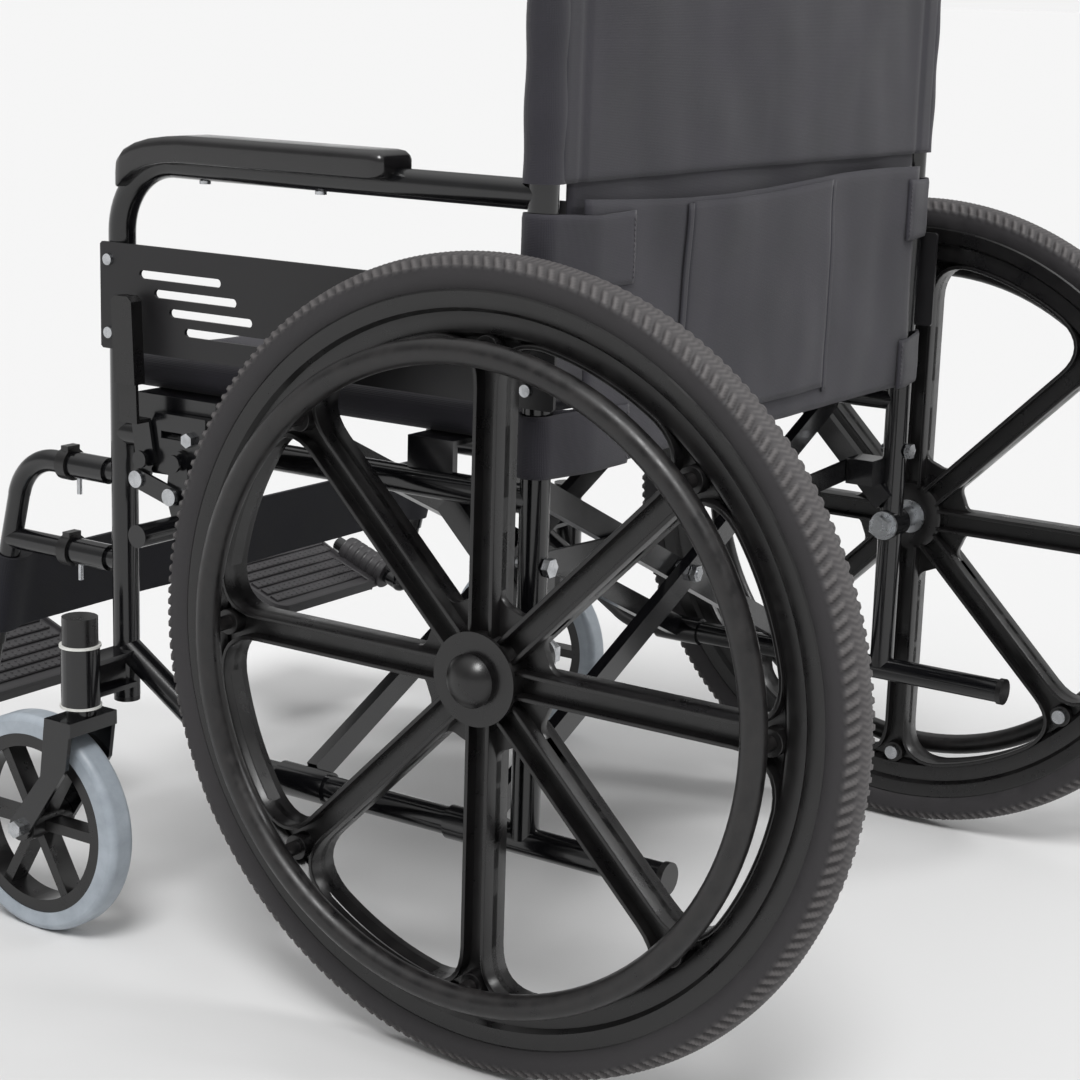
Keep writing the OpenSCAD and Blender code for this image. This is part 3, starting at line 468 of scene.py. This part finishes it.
def makeWheel(side, shape):
    out = sides[side]
    centre = mid(side + "_tyre")

    def place(u, v, w):     # u up and v back in the wheel's plane, w outboard
        return (centre.x + out * w, centre.y + v, centre.z + u)

    low, high = shape["depth"]
    step = 2 * math.pi / shape["spokes"]
    window = wholeEdge(windowEdge(shape["halfSpoke"], shape["hubGusset"], shape["outer"],
                                  shape["innerRound"], shape["outerRound"]))
    plate = [[(0.262 * math.cos(t), 0.262 * math.sin(t)) for t in np.linspace(0, 2 * math.pi, 193)[:-1]]]
    plate += [turned(window, step * i) for i in range(shape["spokes"])]
    parts = [filledCurve(plate, -shape["web"], shape["web"], 0.0006, place)]
    half, lip = shape["halfSpoke"], shape["lip"]
    outside = wholeEdge(windowEdge(half, shape["hubGusset"], shape["outer"], shape["innerRound"],
                                   shape["outerRound"], toHub=shape["lipFrom"]), False)
    inside = wholeEdge(windowEdge(half - lip, shape["hubGusset"], shape["outer"] + lip, shape["innerRound"],
                                  shape["outerRound"] + lip, toHub=shape["lipFrom"]), False)
    strip = outside + list(reversed(inside))
    for i in range(shape["spokes"]):
        parts.append(filledCurve([turned(strip, step * i)], low, high, 0.0009, place))
    rim = [(0.2440, -0.0060), (0.2440, 0.0060), (0.2475, 0.0105), (0.2500, 0.0112), (0.2620, 0.0100),
           (0.2650, 0.0142), (0.2690, 0.0152), (0.2765, 0.0155), (0.2800, 0.0135), (0.2735, 0.0090),
           (0.2735, -0.0090), (0.2800, -0.0135), (0.2765, -0.0155), (0.2690, -0.0152), (0.2650, -0.0142),
           (0.2620, -0.0100), (0.2500, -0.0112), (0.2475, -0.0105)]
    parts.append(lathe(rim, place, 240))
    r = shape["hubRadius"]
    hub = [(0.0165, -0.0115), (r - 0.002, -0.0120), (r + 0.002, -0.0100), (r + 0.003, -0.0030),
           (r + 0.002, 0.0130), (r, 0.0160), (0.0165, 0.0165)]
    parts.append(lathe(hub, place, 64))
    for i in range(shape["spokes"]):
        u, v = shape["bossAt"] * math.cos(step * i), shape["bossAt"] * math.sin(step * i)
        boss = [(u + shape["boss"] * math.cos(t), v + shape["boss"] * math.sin(t))
                for t in np.linspace(0, 2 * math.pi, 25)[:-1]]
        hole = [(u + 0.0032 * math.cos(t), v + 0.0032 * math.sin(t))
                for t in np.linspace(0, 2 * math.pi, 17)[:-1]]
        parts.append(filledCurve([boss, hole], low + 0.0005, high + 0.0004, 0.0007, place))
    points, faces = joinMeshes(parts)
    wheel = addPiece(side + "_wheel_moulding", points, faces, "mouldedNylon", side + "_wheel")
    sharpen(wheel)
    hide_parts(side + "_mag_wheel")


for side in sides:
    makeWheel(side, wheelShape)
print("moulded wheels made")


# ---- upholstery: woven nylon back in two panels, seat and calf strap ----
def soft(x, z, seed, size):
    # smooth unevenness of cloth, about -1..1, for a fold size in metres
    return noise.noise(Vector((x / size, z / size * 0.8, seed))) * 1.6


def smoothStep(t):
    t = max(0.0, min(1.0, t))
    return t * t * (3 - 2 * t)


def ringAround(cx, cy, r, start, end, steps):
    return [(cx + r * math.cos(math.radians(a)), cy + r * math.sin(math.radians(a)))
            for a in np.linspace(start, end, steps)]


postX = mid("left_push_grip").x                     # the rear posts stand at this x on either side
backSizes = {
    "sleeve": 0.0152,
    "folds": 0.0028,        # depth of the soft folds
    "lowerAt": rearAxle + 0.0168,   # middle of the lower panel
}


def makeSleeve(name, x, y, r, bottom, top, finish, body, lean=0.0, count=30):
    # cloth sewn round a tube, with a little slack; lean tips it forward as it goes down
    inner = r - 0.0030
    rings = []
    for size, heights in ((r, np.linspace(0, 1, count)), (inner, np.linspace(1, 0, count))):
        for t in heights:
            height = bottom + (top - bottom) * t
            shift = y - (top - height) * math.tan(lean)
            slack = 0.0005 * math.sin(t * 21 + x * 9) if size == r else 0
            rings.append([(x + u, shift + v, height) for u, v in ringAround(0, 0, size + slack, 0, 350, 36)])
    points = [p for ring in rings for p in ring]
    sleeve = addPiece(name, points, gridFaces(len(rings), 36, wrapRows=True), finish, body)
    sharpen(sleeve, 50)
    return sleeve


def makeUpperBack(size):
    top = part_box("upper_back")[1].z
    bottom = top - 0.209

    def folds(x, z):
        beside = 0.0022 * math.exp(-((postX - abs(x) - 0.026) / 0.003) ** 2)
        edge = smoothStep((postX - abs(x) - 0.012) / 0.05)
        waves = size["folds"] * soft(x, z, 1.3, 0.16) + 0.0012 * soft(x, z, 7.0, 0.05)
        return (waves - 0.0016) * edge - beside

    panel = clothSheet("upper_back_cloth", -0.3030, 0.3030, bottom, top, rearAxle + 0.0153, 0.0036, folds,
                       "wovenNylon", across=150, up=56)
    hem = clothSheet("upper_back_hem", -0.2840, 0.2840, 0.606, bottom + 0.010, rearAxle + 0.0085, 0.0030,
                     lambda x, z: 0.0018 * soft(x, z, 4.4, 0.09), "wovenNylon")
    for side, sign in sides.items():
        makeSleeve(side + "_back_sleeve", sign * postX, rearAxle, size["sleeve"] + 0.0002, bottom, top,
                   "wovenNylon", side + "_frame")
    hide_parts("upper_back")
    return [panel, hem]


def clothSheet(name, x0, x1, z0, z1, y, thick, shift, finish, topEdge=None, bottomEdge=None, across=72, up=36,
               body="left_frame"):
    # a panel in the chair's cross plane, its rim rounded over, y is its rear face
    rows = []
    for j in range(up + 1):
        row = []
        for i in range(across + 1):
            x = x0 + (x1 - x0) * i / across
            lowZ = z0 + (bottomEdge(x) if bottomEdge else 0)
            highZ = z1 + (topEdge(x) if topEdge else 0)
            z = lowZ + (highZ - lowZ) * j / up
            rim = min(i, across - i, j, up - j)
            soften = 1.0 if rim >= 1 else 0.35
            row.append((x, z, shift(x, z), soften))
        rows.append(row)
    points, faces = [], []
    for face in (1, 0):
        for row in rows:
            for x, z, s, soften in row:
                depth = (-1 if face else 1) * (1 - soften) * thick / 2 - (0 if face else thick)
                points.append((x, y + s + depth, z))
    columns, count = across + 1, (across + 1) * (up + 1)
    front = gridFaces(up + 1, columns, wrapColumns=False)
    faces += [tuple(reversed(f)) for f in front]
    faces += [tuple(i + count for i in f) for f in front]
    border = ([(0, i) for i in range(columns)] + [(j, across) for j in range(1, up + 1)] +
              [(up, i) for i in range(across - 1, -1, -1)] + [(j, 0) for j in range(up - 1, 0, -1)])
    index = [j * columns + i for j, i in border]
    for a, b in zip(index, index[1:] + index[:1]):
        faces.append((a, b, b + count, a + count))
    return addPiece(name, points, faces, finish, body)


def makeFlap(name, sign, z0, z1, reach, seed):
    # strip that leaves the panel, goes round the post and closes on the panel's rear face
    path = [(0.262, 0.0140), (0.2790, 0.0120), (0.2880, 0.0040)]
    path += [(postX + x, y) for x, y in ringAround(0, 0, 0.0140, 200, 450, 22)][1:]
    path += [(0.288, 0.0172), (0.270, 0.0212)]
    path += [(x, 0.0222) for x in np.linspace(0.262, reach + 0.004, 10)] + [(reach, 0.0216)]
    thick = 0.0022
    line = np.array(path)
    run = np.gradient(line, axis=0)
    run /= np.linalg.norm(run, axis=1)[:, None]
    side = np.stack([run[:, 1], -run[:, 0]], 1)
    rings = []
    ups = np.linspace(0, 1, 15)
    for k in ups:
        z = z0 + (z1 - z0) * k
        pull = 0.0009 * math.sin(k * 9 + seed)
        rim = 0.35 if k in (0, 1) else 1.0
        ring = []
        for offset in (0.5, -0.5):
            order = range(len(line)) if offset > 0 else range(len(line) - 1, -1, -1)
            for i in order:
                slack = pull * math.sin(i * 0.45 + seed) * 0.5
                p = line[i] + side[i] * (offset * thick * rim + slack * 0.4)
                ring.append((sign * p[0], rearAxle + p[1], z + 0.0015 * math.sin(p[0] * 40 + seed) * k))
        if sign < 0:
            ring.reverse()
        rings.append(ring)
    points, faces = loft(rings)
    return addPiece(name, points, faces, "wovenNylon", name.split("_")[0] + "_frame")


def stitchRow(name, path, body="left_frame", finish="sewingThread"):
    # short stitches along a path of points, each a little flattened rod
    points, faces = [], []
    line = [Vector(p) for p in path]
    for a, b in zip(line, line[1:]):
        span = (b - a).length
        count = max(1, int(span / 0.0036))
        along = (b - a).normalized()
        for i in range(count):
            start = a + along * (i * span / count)
            end = start + along * 0.0024
            base = len(points)
            cross = along.cross(Vector((0, 1, 0))).normalized() * 0.0004
            proud = Vector((0, 0.0004, 0))
            for p in (start, end):
                points += [p + cross, p + proud, p - cross, p - proud]
            for k in range(4):
                faces.append((base + k, base + (k + 1) % 4, base + 4 + (k + 1) % 4, base + 4 + k))
            faces += [(base + 3, base + 2, base + 1, base), (base + 4, base + 5, base + 6, base + 7)]
    return addPiece(name, points, faces, finish, body)


def makeLowerBack(size):
    def lean(x, z):
        return 0.0026 * soft(x, z, 2.2, 0.12) + 0.0014 * soft(x, z, 5.5, 0.045)

    def top(x):
        return 0.0035 * math.sin((x + 0.3) * 11) + 0.004 * abs(x) / 0.27

    def bulge(x, z):
        return lean(x, z) + 0.0022 * math.sin(math.pi * (x + 0.102) / 0.236)

    y = size["lowerAt"] + 0.0030
    panel = clothSheet("lower_back_cloth", -0.274, 0.274, 0.443, 0.637, y, 0.0044, lean,
                       "wovenNylon", topEdge=top)
    pocket = clothSheet("back_pocket", -0.102, 0.134, 0.462, 0.634, y + 0.0022, 0.0016,
                        bulge, "wovenNylon", topEdge=top, across=40, up=30)
    pieces = [panel, pocket]
    for k, x in enumerate((-0.104, 0.136)):     # folded pleats at the pocket's sides
        pieces.append(clothSheet("pocket_pleat_%d" % k, x - 0.004, x + 0.004, 0.458, 0.633, y + 0.0020,
                                 0.0022, lambda px, pz: lean(px, pz) + 0.0005, "wovenNylon",
                                 topEdge=top, across=6, up=30))
    flaps = [("upper", 0.577, 0.631), ("lower", 0.442, 0.488)]
    for sign, reach in ((1, 0.213), (-1, 0.250)):
        for k, (label, z0, z1) in enumerate(flaps):
            sideName = "left" if sign > 0 else "right"
            makeFlap("%s_%s_flap" % (sideName, label), sign, z0, z1, reach, k * 2.1 + sign)
            x = sign * (reach + 0.0035)
            edge = [(x, rearAxle + 0.0236, z) for z in np.linspace(z0 + 0.004, z1 - 0.004, 4)]
            stitchRow("%s_%s_flap_stitch" % (sideName, label), edge, sideName + "_frame")
    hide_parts("lower_back")
    return pieces


def makeSeat():
    low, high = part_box("seat_sling")
    railX = high.x - 0.010
    sag = 0.004
    rings = []
    for t in np.linspace(0, 1, 50):
        y = low.y + (high.y - low.y) * t
        ring = []
        for i in range(61):     # top, from right to left
            x = -railX + 2 * railX * i / 60
            dip = sag * math.cos(math.pi * x / (2 * railX)) + 0.0012 * soft(x, y, 9.1, 0.09)
            ring.append((x, y, high.z - dip * smoothStep((railX - abs(x)) / 0.03)))
        for x, z in ringAround(0, 0, 0.0142, 80, -60, 12):
            ring.append((railX + x, y, high.z - 0.0155 + z))
        for i in range(61):
            x = (railX - 0.004) * (1 - 2 * i / 60)
            dip = sag * math.cos(math.pi * x / (2 * railX))
            inner = smoothStep((railX - abs(x)) / 0.016)
            ring.append((x, y, high.z - 0.0275 + 0.0215 * inner - dip * inner))
        for x, z in ringAround(0, 0, 0.0142, 240, 100, 12):
            ring.append((-railX + x, y, high.z - 0.0155 + z))
        rings.append(ring)
    points, faces = loft(rings)
    seat = addPiece("seat_cloth", points, faces, "wovenNylon", "seat")
    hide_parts("seat_sling")
    return seat


def makeCalfStrap():
    low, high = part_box("calf_strap")
    x = postX
    lean = math.radians(14)
    # the strap leans with the legrest tubes
    down = Vector((0, -math.sin(lean), -math.cos(lean)))
    back = Vector((0, math.cos(lean), -math.sin(lean)))
    tall = 0.070
    around, web = 0.0126, 0.0062    # loop round each tube, and how far the strap lies in front of its back
    middle = (low + high) / 2
    start = Vector((0, middle.y, middle.z)) - down * tall / 2
    rings = []
    for k in np.linspace(0, 1, 25):
        ring = []
        at = start + down * (tall * k)

        def wave(px):
            return 0.0020 * soft(px, k * 0.07, 3.3, 0.14) * smoothStep((x - abs(px)) / 0.08)

        for a in np.linspace(-60, 90, 16):
            ring.append((x + around * math.cos(math.radians(a)), around * math.sin(math.radians(a))))
        for t in np.linspace(0, 1, 60)[1:-1]:
            px = x * (1 - 2 * t)
            ring.append((px, around - web * smoothStep((x - abs(px) - 0.006) / 0.02) + wave(px)))
        for a in np.linspace(90, 240, 16):
            ring.append((-x + around * math.cos(math.radians(a)), around * math.sin(math.radians(a))))
        for a in np.linspace(240, 320, 8)[1:]:
            ring.append((-x + around * math.cos(math.radians(a)), around * math.sin(math.radians(a))))
        for t in np.linspace(0, 1, 60)[1:-1]:
            px = -x + 0.011 + (2 * x - 0.022) * t
            tuck = 0.010 * (1 - smoothStep((x - abs(px) - 0.010) / 0.012))
            ring.append((px, around - web - 0.0026 + wave(px) - tuck))
        for a in np.linspace(220, 300, 8)[:-1]:
            ring.append((x + around * math.cos(math.radians(a)), around * math.sin(math.radians(a))))
        rings.append([tuple(Vector((px, 0, 0)) + at + back * py) for px, py in ring])
    points, faces = loft(rings)
    strap = addPiece("calf_strap_cloth", points, faces, "strapWebbing", "left_frame")
    sharpen(strap, 50)
    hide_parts("calf_strap")
    return strap


backPieces = makeUpperBack(backSizes) + makeLowerBack(backSizes)
seatCloth = makeSeat()
calfStrap = makeCalfStrap()
print("upholstery made")


# ---- armrest pads: moulded foam with a rounded top ----
padShape = {"half": 0.0210, "corner": 0.0075, "tubeZ": 0.6445}

def makePad(side, shape):
    sign = sides[side]
    low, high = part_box(side + "_arm_pad")
    middle, tubeZ, wide = mid(side + "_arm_pad").x, shape["tubeZ"], shape["half"]
    # distance back from the nose, then underside and top above the tube, then half width
    spine = [(0.0000, -0.0185, -0.0060, 0.0150), (0.0010, -0.0200, -0.0020, 0.0180),
             (0.0040, -0.0195, 0.0045, 0.0202), (0.0100, -0.0140, 0.0105, wide),
             (0.0200, -0.0070, 0.0152, wide), (0.0340, -0.0015, 0.0190, wide),
             (0.0520, 0.0020, 0.0216, wide), (0.0700, 0.0030, 0.0230, wide)]
    stations = [(low.y + along, tubeZ + under, tubeZ + top, half) for along, under, top, half in spine]
    for t in np.linspace(0.15, 0.94, 8):
        stations.append((low.y + 0.07 + (high.y - low.y - 0.07) * t, tubeZ + 0.0030, tubeZ + 0.0232, wide))
    stations += [(high.y - 0.0050, tubeZ + 0.0040, tubeZ + 0.0224, wide - 0.0006),
                 (high.y - 0.0015, tubeZ + 0.0055, tubeZ + 0.0206, wide - 0.0026),
                 (high.y, tubeZ + 0.0075, tubeZ + 0.0186, wide - 0.0050)]
    rings = []
    for y, under, top, half in stations:
        r = min(shape["corner"], (top - under) * 0.42)
        small = min(0.0025, (top - under) * 0.2)
        corners = ((half - r, top - r, 0, r), (r - half, top - r, 90, r),
                   (small - half, under + small, 180, small), (half - small, under + small, 270, small))
        ring = []
        for cx, cz, start, size in corners:
            for a in np.linspace(start, start + 90, 8 if size == r else 5):
                lift = 0.0012 * (1 - (cx / half) ** 2) if size == r else 0
                ring.append((middle + sign * (cx + size * math.cos(math.radians(a))), y,
                             cz + size * math.sin(math.radians(a)) + lift))
        rings.append(ring)
    points, faces = loft(rings)
    pad = addPiece(side + "_armrest_pad", points, faces, "padSkin", side + "_frame")
    sharpen(pad, 60)
    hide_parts(side + "_arm_pad")


for side in sides:
    makePad(side, padShape)

# ---- footplates: ribbed moulding with grip dots ----
plateShape = {
    "width": 0.176, "length": 0.150, "thick": 0.013,
    "from": 0.020, "below": -0.016, "pitch": 20,
    "ribs": 9, "dot": 0.0016,
}


def makeFootplate(side, shape):
    sign = sides[side]
    pitch = math.radians(shape["pitch"])
    ahead = Vector((0, -math.cos(pitch), math.sin(pitch)))
    up = Vector((0, math.sin(pitch), math.cos(pitch)))
    hinge = next(j for j in frame["joints"] if j["name"] == side + "_footplate_flip")
    origin = Vector(hinge["pos_m"])

    def place(inward, forward, height):
        return tuple(origin + Vector((-sign * inward, 0, 0)) + ahead * forward + up * height)

    base, thick = shape["below"], shape["thick"]
    wide, long, start = shape["width"], shape["length"], shape["from"]
    corner = 0.016
    outline = []
    for cu, cv, a0 in ((wide - corner, start + long - corner, 0), (0.004, start + long - 0.004, 90),
                       (0.004, start + 0.004, 180), (wide - corner, start + corner, 270)):
        r = corner if cu > 0.1 else 0.004
        for a in np.linspace(a0, a0 + 90, 9):
            outline.append((cu + r * math.cos(math.radians(a)), cv + r * math.sin(math.radians(a))))
    # leave room for the hinge barrel
    barrelEnd = start + 0.058
    outline = [(max(u, 0.0175) if v < barrelEnd + 0.003 else u, v) for u, v in outline]
    parts = [slab(outline, base, base + thick - 0.003, 0.0012, place)]
    inner = shrinkLoop(outline, 0.0045)
    rings = [[place(u, v, base + thick - 0.004) for u, v in outline],
             [place(u, v, base + thick - 0.0004) for u, v in outline],
             [place(u, v, base + thick) for u, v in shrinkLoop(outline, 0.0012)],
             [place(u, v, base + thick) for u, v in shrinkLoop(outline, 0.0034)],
             [place(u, v, base + thick - 0.0034) for u, v in inner]]
    parts.append(loft(rings, closeEnds=False))
    pitchOf = (long - 0.024) / shape["ribs"]
    for k in range(shape["ribs"]):
        v = start + 0.012 + pitchOf * (k + 0.5)
        left = 0.024 if v < barrelEnd + 0.006 else 0.010
        near, far = v - pitchOf * 0.36, v + pitchOf * 0.36
        rib = [(left, near), (wide - 0.010, near), (wide - 0.010, far), (left, far)]
        parts.append(slab(rib, base + thick - 0.005, base + thick - 0.0008, 0.0009, place))
        for u in np.arange(left + 0.006, wide - 0.012, 0.0085):
            for row in (-0.18, 0.18):
                parts.append(dome(u, v + pitchOf * row, base + thick - 0.0009, shape["dot"], place))
    near, far = start + 0.012, start + 0.018
    ribUnder = [(0.02, near), (wide - 0.012, near), (wide - 0.012, far), (0.02, far)]
    parts.append(slab(ribUnder, base, base + 0.004, 0.0008, place))
    # hinge barrel with raised rings
    profile = [(0.0086, start - 0.002)]
    for k in range(6):
        at = start - 0.002 + 0.010 * k
        profile += [(0.0150, at + 0.0002), (0.0158, at + 0.0012), (0.0158, at + 0.0068),
                    (0.0146, at + 0.0080), (0.0146, at + 0.0094)]
    profile += [(0.0150, start + 0.058), (0.0086, start + 0.058)]
    rings = []
    for r, v in profile:
        rings.append([place(r * math.cos(a), v, r * math.sin(a))
                      for a in np.linspace(0, 2 * math.pi, 41)[:-1]])
    rings = [list(reversed(ring)) for ring in rings]
    parts.append(loft(rings))
    web = [(0.006, start + 0.002), (0.024, start + 0.002), (0.024, start + 0.054), (0.006, start + 0.054)]
    parts.append(slab(web, base + 0.001, base + thick - 0.0005, 0.001, place))
    points, faces = joinMeshes(parts)
    plate = addPiece(side + "_footplate_moulding", points, faces, "footplatePlastic", side + "_footplate")
    sharpen(plate, 35)
    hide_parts(side + "_footplate")


def dome(u, v, base, r, place):
    rings = []
    for a in (0, 35, 65):
        c, s = math.cos(math.radians(a)), math.sin(math.radians(a))
        rings.append([place(u + r * c * math.cos(t), v + r * c * math.sin(t), base + r * 0.7 * s)
                      for t in np.linspace(0, 2 * math.pi, 7)[:-1]])
    return loft(rings)


for side in sides:
    makeFootplate(side, plateShape)
print("pads and footplates made")

# ---- soft pieces get their own copy of their mesh data ----
for piece in backPieces + [calfStrap]:
    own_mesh(piece)
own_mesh(seatCloth)

# ---- floor, sky and lamps ----
studio = {
    "floor": "#d5d5d5",
    "horizon": 0.90, "sky": 0.34, "overhead": 1.05,    # brightness of the room level, half way up and above
    "key": {"power": 2.0, "size": 22, "from": (0.50, 0.30, 0.85)},
    "rim": {"power": 0.9, "size": 14, "from": (-0.55, 0.75, 0.60)},
}


def makeStudio(setup):
    bpy.ops.mesh.primitive_plane_add(size=12000, location=(0, 0, 0))
    floor = bpy.context.object
    floor.name = "floor"
    paper = bpy.data.materials.new("paperSweep")
    paper.use_nodes = True
    shader = paper.node_tree.nodes["Principled BSDF"]
    shader.inputs["Base Color"].default_value = linear(setup["floor"])
    shader.inputs["Roughness"].default_value = 0.9
    shader.inputs["Specular IOR Level"].default_value = 0.0
    floor.data.materials.append(paper)
    world = bpy.data.worlds.new("studio")
    bpy.context.scene.world = world
    world.use_nodes = True
    tree = world.node_tree
    place = addNode(tree, "ShaderNodeTexCoord").outputs["Generated"]
    height = addNode(tree, "ShaderNodeSeparateXYZ", None, {"Vector": place}).outputs["Z"]
    lower = addNode(tree, "ShaderNodeMapRange", {"interpolation_type": "SMOOTHSTEP"},
                    {"Value": height, "From Min": 0.03, "From Max": 0.22, "To Min": setup["horizon"],
                     "To Max": setup["sky"]}).outputs[0]
    upper = addNode(tree, "ShaderNodeMapRange", {"interpolation_type": "SMOOTHSTEP"},
                    {"Value": height, "From Min": 0.45, "From Max": 0.95, "To Min": 0.0,
                     "To Max": setup["overhead"] - setup["sky"]}).outputs[0]
    both = addNode(tree, "ShaderNodeMath", {"operation": "ADD"}, {0: lower, 1: upper}).outputs[0]
    tree.links.new(both, tree.nodes["Background"].inputs["Strength"])
    tree.nodes["Background"].inputs["Color"].default_value = (1, 1, 1, 1)
    for name in ("key", "rim"):
        lamp = setup[name]
        data = bpy.data.lights.new(name, "SUN")
        data.energy = lamp["power"]
        data.angle = math.radians(lamp["size"])
        obj = bpy.data.objects.new(name, data)
        obj.rotation_euler = Vector(lamp["from"]).to_track_quat("Z", "Y").to_euler()
        bpy.context.scene.collection.objects.link(obj)


makeStudio(studio)
print("studio made")
